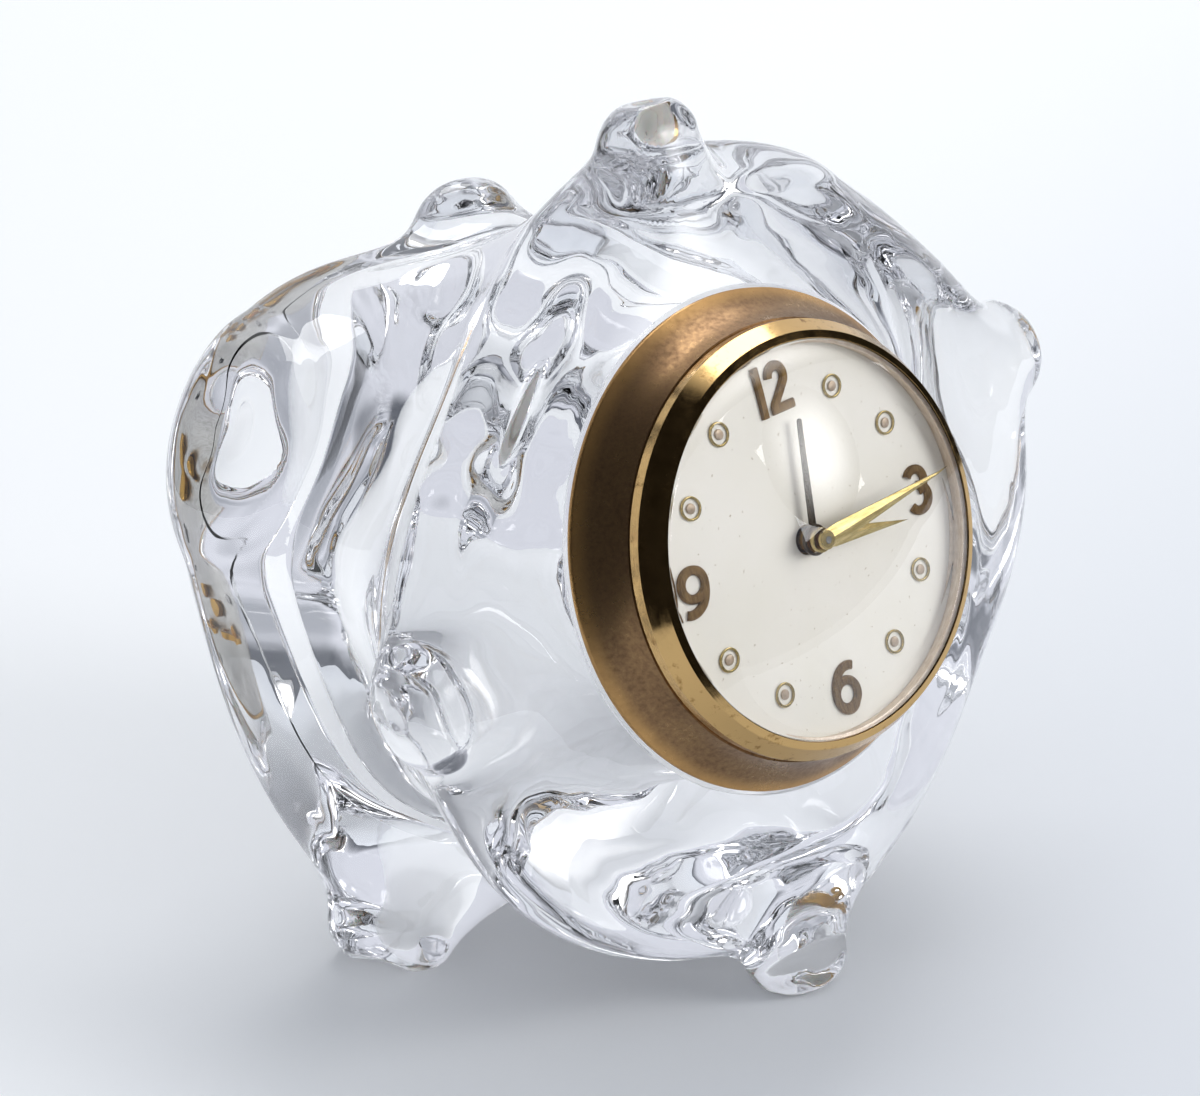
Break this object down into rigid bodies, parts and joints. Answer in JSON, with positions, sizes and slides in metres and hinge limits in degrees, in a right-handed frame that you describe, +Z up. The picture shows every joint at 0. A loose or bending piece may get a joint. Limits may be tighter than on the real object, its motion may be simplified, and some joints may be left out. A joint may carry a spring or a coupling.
{
  "type": "crystal desk alarm clock",
  "caption": "Round wind-up alarm clock with a brass bezel and flange, set in a thick hand-worked clear crystal block that stands on pulled nubs.",
  "frame": {"origin": "middle of the flat under the front foot, on the table", "axes": "+Z up, dial facing -Y and leaning back, +X towards three o'clock"},
  "size_m": [0.1292, 0.0949, 0.1205],
  "materials": {
    "crystal": "polished clear lead crystal",
    "lens": "polished clear acrylic",
    "rubber": "matte",
    "gilt_brass": "polished gilt",
    "aged_bronze": "worn satin patina",
    "movement_brass": "fine brushed",
    "nickel": "satin nickel plate",
    "nylon": "natural satin",
    "steel": "polished",
    "dark_steel": "dark oxide",
    "dial_silver": "fine matte silvered cream"
  },
  "bodies": {
    "clock": {"crystal_block": "crystal", "seat_gasket": "rubber", "friction_sleeve": "nylon", "drum_case": "gilt_brass", "flange_ring": "aged_bronze", "bezel_ring": "gilt_brass", "lens": "lens", "reflector_ring": "dial_silver", "dial": "dial_silver", "numeral_12": "aged_bronze", "numeral_3": "aged_bronze", "numeral_6": "aged_bronze", "numeral_9": "aged_bronze", "hour_rings": "gilt_brass", "hour_pips": "gilt_brass", "front_plate": "movement_brass", "rear_plate": "movement_brass", "plate_pillars": "movement_brass", "plate_screws": "steel", "hairspring": "steel", "balance_cock": "movement_brass", "cover_posts": "movement_brass", "back_cover": "nickel", "back_screws": "steel"},
    "minute_works": {"minute_hand": "gilt_brass", "centre_arbor": "steel", "cannon_pinion": "movement_brass", "time_set_knob": "gilt_brass"},
    "hour_works": {"hour_hand": "gilt_brass", "hour_wheel": "movement_brass"},
    "minute_wheel": {"minute_wheel": "movement_brass"},
    "alarm_setting": {"alarm_set_arbor": "steel", "alarm_set_pinion": "movement_brass", "alarm_set_knob": "gilt_brass"},
    "alarm_works": {"alarm_hand": "dark_steel", "alarm_wheel": "movement_brass"},
    "fourth_train": {"fourth_wheel": "movement_brass"},
    "third_train": {"third_wheel": "movement_brass"},
    "centre_train": {"centre_wheel": "movement_brass"},
    "escape_train": {"escape_wheel": "steel"},
    "going_barrel": {"going_barrel": "movement_brass", "going_mainspring": "steel"},
    "alarm_barrel": {"alarm_barrel": "movement_brass", "alarm_mainspring": "steel"},
    "alarm_strike": {"alarm_star_wheel": "movement_brass"},
    "time_winding": {"going_arbor": "steel", "going_ratchet": "steel", "time_key": "gilt_brass"},
    "alarm_winding": {"alarm_arbor": "steel", "alarm_ratchet": "steel", "alarm_key": "gilt_brass"},
    "going_click": {"going_click": "steel"},
    "alarm_click": {"alarm_click": "steel"},
    "pallet_fork": {"pallet_fork": "steel"},
    "balance": {"balance_wheel": "movement_brass"},
    "regulator": {"regulator_lever": "steel"},
    "alarm_hammer": {"alarm_hammer": "steel"},
    "alarm_stop": {"alarm_stop": "steel"}
  },
  "joints": [
    {"name": "hands_set", "type": "hinge", "parent": "clock", "child": "minute_works", "pos_m": [0.00169, 0.00795, 0.0661], "axis": [0, 0.9367, -0.3502], "continuous": true},
    {"name": "hour_turn", "type": "hinge", "parent": "clock", "child": "hour_works", "pos_m": [0.00169, 0.00608, 0.0668], "axis": [0, 0.9367, -0.3502], "continuous": true},
    {"name": "minute_wheel_turn", "type": "hinge", "parent": "clock", "child": "minute_wheel", "pos_m": [-0.00394, 0.00536, 0.06488], "axis": [0, 0.9367, -0.3502], "continuous": true},
    {"name": "alarm_set", "type": "hinge", "parent": "clock", "child": "alarm_setting", "pos_m": [0.01001, 0.02275, 0.06569], "axis": [0, 0.9367, -0.3502], "continuous": true},
    {"name": "alarm_hand_turn", "type": "hinge", "parent": "clock", "child": "alarm_works", "pos_m": [0.00169, 0.00421, 0.0675], "axis": [0, 0.9367, -0.3502], "continuous": true},
    {"name": "fourth_turn", "type": "hinge", "parent": "clock", "child": "fourth_train", "pos_m": [-0.00537, 0.02096, 0.0752], "axis": [0, 0.9367, -0.3502], "continuous": true},
    {"name": "third_turn", "type": "hinge", "parent": "clock", "child": "third_train", "pos_m": [0.00169, 0.01672, 0.07243], "axis": [0, 0.9367, -0.3502], "continuous": true},
    {"name": "centre_turn", "type": "hinge", "parent": "clock", "child": "centre_train", "pos_m": [0.00169, 0.01545, 0.0633], "axis": [0, 0.9367, -0.3502], "continuous": true},
    {"name": "escape_turn", "type": "hinge", "parent": "clock", "child": "escape_train", "pos_m": [0.00134, 0.02243, 0.07913], "axis": [0, 0.9367, -0.3502], "continuous": true},
    {"name": "going_barrel_turn", "type": "hinge", "parent": "clock", "child": "going_barrel", "pos_m": [-0.00828, 0.01139, 0.05816], "axis": [0, 0.9367, -0.3502], "continuous": true},
    {"name": "alarm_barrel_turn", "type": "hinge", "parent": "clock", "child": "alarm_barrel", "pos_m": [0.01266, 0.01113, 0.05745], "axis": [0, 0.9367, -0.3502], "continuous": true},
    {"name": "alarm_star_turn", "type": "hinge", "parent": "clock", "child": "alarm_strike", "pos_m": [0.02137, 0.01514, 0.06247], "axis": [0, 0.9367, -0.3502], "continuous": true},
    {"name": "time_winding_turn", "type": "hinge", "parent": "clock", "child": "time_winding", "pos_m": [-0.00828, 0.02825, 0.05186], "axis": [0, 0.9367, -0.3502], "continuous": true},
    {"name": "alarm_winding_turn", "type": "hinge", "parent": "clock", "child": "alarm_winding", "pos_m": [0.01266, 0.02799, 0.05115], "axis": [0, 0.9367, -0.3502], "continuous": true},
    {"name": "going_click_lift", "type": "hinge", "parent": "clock", "child": "going_click", "pos_m": [-0.014, 0.02098, 0.0581], "axis": [0, 0.9367, -0.3502], "range_deg": [0, 12], "stiffness_Nm_per_rad": 0.000004},
    {"name": "alarm_click_lift", "type": "hinge", "parent": "clock", "child": "alarm_click", "pos_m": [0.0138, 0.01728, 0.04822], "axis": [0, 0.9367, -0.3502], "range_deg": [0, 12], "stiffness_Nm_per_rad": 0.000004},
    {"name": "pallet_rock", "type": "hinge", "parent": "clock", "child": "pallet_fork", "pos_m": [0.00584, 0.02397, 0.07753], "axis": [0, 0.9367, -0.3502], "range_deg": [-4, 4]},
    {"name": "balance_swing", "type": "hinge", "parent": "clock", "child": "balance", "pos_m": [0.01184, 0.02797, 0.07396], "axis": [0, 0.9367, -0.3502], "range_deg": [-220, 220], "stiffness_Nm_per_rad": 0.000004},
    {"name": "regulator_swing", "type": "hinge", "parent": "clock", "child": "regulator", "pos_m": [0.01184, 0.03172, 0.07256], "axis": [0, 0.9367, -0.3502], "range_deg": [-20, 20]},
    {"name": "hammer_swing", "type": "hinge", "parent": "clock", "child": "alarm_hammer", "pos_m": [0.02088, 0.022, 0.06997], "axis": [0, 0.9367, -0.3502], "range_deg": [-6, 18]},
    {"name": "alarm_stop_push", "type": "slide", "parent": "clock", "child": "alarm_stop", "axis": [0, -0.9367, 0.3502], "range_m": [0, 0.0015], "stiffness_N_per_m": 150}
  ],
  "couplings": [
    {"joint": "hour_turn", "follows": "hands_set", "ratio": 0.083333},
    {"joint": "minute_wheel_turn", "follows": "hands_set", "ratio": -0.33333},
    {"joint": "alarm_hand_turn", "follows": "alarm_set", "ratio": -0.6},
    {"joint": "third_turn", "follows": "fourth_turn", "ratio": -0.13333},
    {"joint": "centre_turn", "follows": "fourth_turn", "ratio": 0.016667},
    {"joint": "escape_turn", "follows": "fourth_turn", "ratio": -10},
    {"joint": "going_barrel_turn", "follows": "fourth_turn", "ratio": -0.0027778},
    {"joint": "alarm_star_turn", "follows": "alarm_barrel_turn", "ratio": -6.6}
  ]
}
